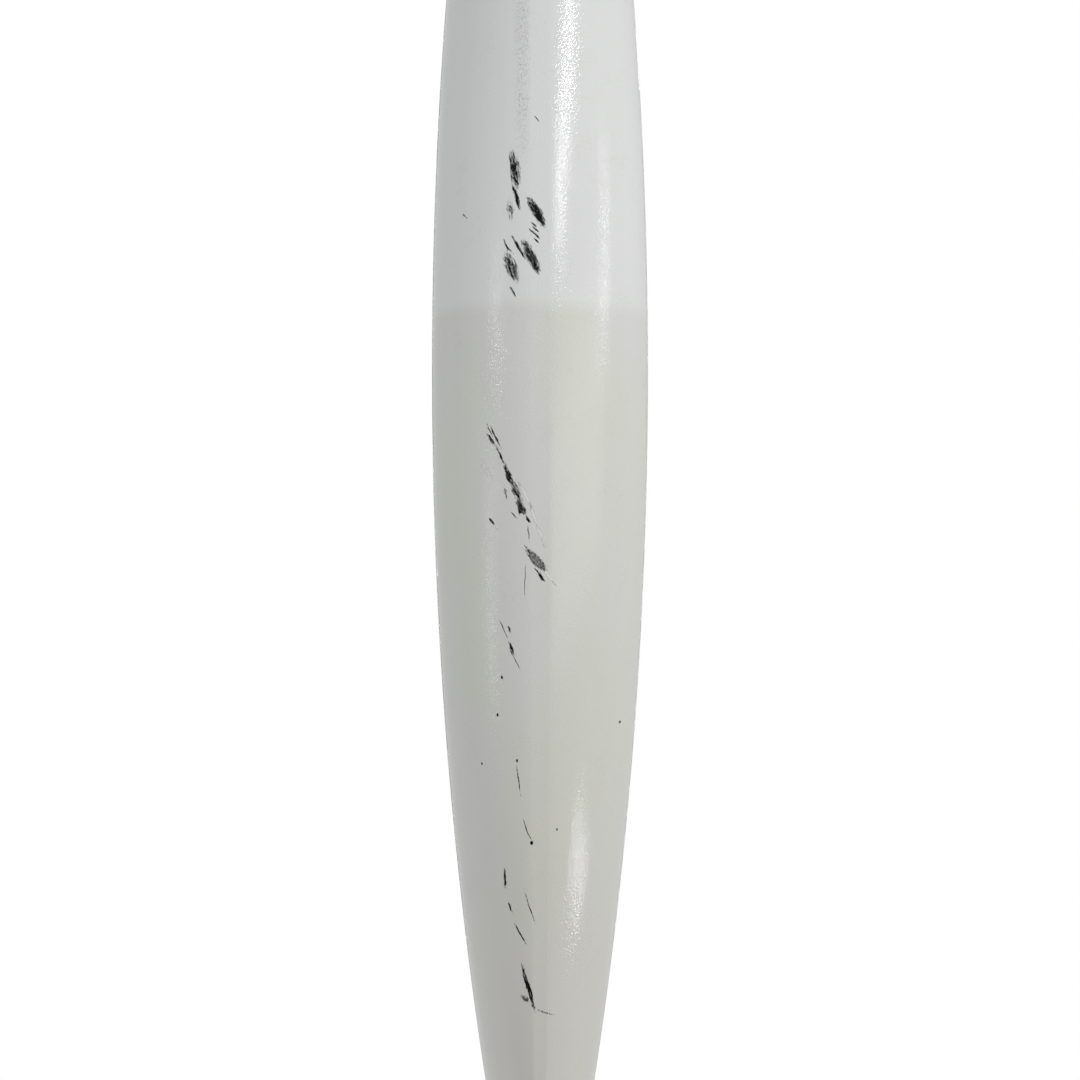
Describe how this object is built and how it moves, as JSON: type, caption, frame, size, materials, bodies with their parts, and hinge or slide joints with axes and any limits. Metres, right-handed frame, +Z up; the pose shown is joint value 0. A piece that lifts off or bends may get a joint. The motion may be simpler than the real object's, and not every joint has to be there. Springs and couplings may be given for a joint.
{
  "type": "kayak",
  "caption": "Long narrow touring sea kayak with a shallow V hull, keyhole cockpit, sealed hatches, drop skeg, deck lines and carrying handles.",
  "frame": {"origin": "on the ground below the middle of the boat, at the lowest line of the keel", "axes": "+X towards the bow, +Y to port, +Z up, with the boat standing on its keel"},
  "size_m": [5.2, 0.56, 0.418],
  "materials": {
    "white_gelcoat": "gloss",
    "black_gelcoat": "gloss",
    "laminate": "satin",
    "black_plastic": "matte",
    "hatch_rubber": "matte",
    "foam": "matte",
    "webbing": "matte",
    "line": "matte",
    "stainless": "satin",
    "anodised": "satin"
  },
  "bodies": {
    "boat": {"hull_bow": "white_gelcoat", "hull_middle": "white_gelcoat", "hull_stern": "white_gelcoat", "deck_bow": "white_gelcoat", "deck_middle": "white_gelcoat", "deck_stern": "white_gelcoat", "seam_band": "white_gelcoat", "coaming_fore": "black_gelcoat", "coaming_aft": "black_gelcoat", "bulkhead_front": "laminate", "bulkhead_rear": "laminate", "bulkhead_day": "laminate", "seat": "black_gelcoat", "seat_pad": "foam", "seat_cheek_left": "black_plastic", "seat_cheek_right": "black_plastic", "seat_bolts": "stainless", "hip_pad_left": "foam", "hip_pad_right": "foam", "thigh_brace_left": "black_plastic", "thigh_brace_right": "black_plastic", "backband_bolts": "stainless", "footrest_rail_left": "anodised", "footrest_rail_right": "anodised", "footrest_studs": "stainless", "front_hatch_rim": "black_plastic", "day_hatch_rim": "black_plastic", "rear_hatch_rim": "black_plastic", "skeg_box": "laminate", "skeg_pivot_pin": "stainless", "skeg_track": "black_plastic", "skeg_cable": "black_plastic", "deck_eyes_left": "black_plastic", "deck_eyes_right": "black_plastic", "eye_screws": "stainless", "deck_line_fore_left": "line", "deck_line_fore_right": "line", "deck_line_aft_left": "line", "deck_line_aft_right": "line", "fore_bungee": "line", "aft_bungee": "line", "end_tubes": "black_plastic", "lock_tube": "stainless"},
    "front_cover": {"front_hatch_cover": "hatch_rubber"},
    "day_cover": {"day_hatch_cover": "hatch_rubber"},
    "rear_cover": {"rear_hatch_cover": "hatch_rubber"},
    "skeg": {"skeg_blade": "black_plastic"},
    "skeg_control": {"skeg_slider": "anodised"},
    "pedal_left": {"footrest_pedal_left": "black_plastic"},
    "pedal_right": {"footrest_pedal_right": "black_plastic"},
    "back_rest": {"backband": "foam", "backband_straps": "webbing"},
    "bow_handle": {"bow_toggle": "black_plastic"},
    "stern_handle": {"stern_toggle": "black_plastic"}
  },
  "joints": [
    {"name": "front_cover_lift", "type": "slide", "parent": "boat", "child": "front_cover", "axis": [-0.013, 0, 0.9999], "range_m": [0, 0.2]},
    {"name": "day_cover_lift", "type": "slide", "parent": "boat", "child": "day_cover", "axis": [-0.0008, 0, 1], "range_m": [0, 0.2]},
    {"name": "rear_cover_lift", "type": "slide", "parent": "boat", "child": "rear_cover", "axis": [0.0232, 0, 0.9997], "range_m": [0, 0.2]},
    {"name": "skeg_swing", "type": "hinge", "parent": "boat", "child": "skeg", "pos_m": [-1.6, 0, 0.06099], "axis": [0, -1, 0], "range_deg": [0, 55]},
    {"name": "skeg_slide", "type": "slide", "parent": "boat", "child": "skeg_control", "axis": [0.9998, 0, 0.0199], "range_m": [0, 0.14]},
    {"name": "pedal_left_slide", "type": "slide", "parent": "boat", "child": "pedal_left", "axis": [0.9992, -0.0401, 0], "range_m": [-0.12, 0.12]},
    {"name": "pedal_right_slide", "type": "slide", "parent": "boat", "child": "pedal_right", "axis": [0.9992, 0.0401, 0], "range_m": [-0.12, 0.12]},
    {"name": "back_rest_tilt", "type": "hinge", "parent": "boat", "child": "back_rest", "pos_m": [-0.23, 0, 0.244], "axis": [0, 1, 0], "range_deg": [-4, 8]},
    {"name": "bow_handle_swing", "type": "hinge", "parent": "boat", "child": "bow_handle", "pos_m": [2.5, 0, 0.35052], "axis": [0, 1, 0], "range_deg": [0, 85]},
    {"name": "stern_handle_swing", "type": "hinge", "parent": "boat", "child": "stern_handle", "pos_m": [-2.5, 0, 0.29591], "axis": [0, -1, 0], "range_deg": [0, 85]}
  ],
  "couplings": [
    {"joint": "skeg_slide", "follows": "skeg_swing", "m_per_rad": 0.1458}
  ]
}
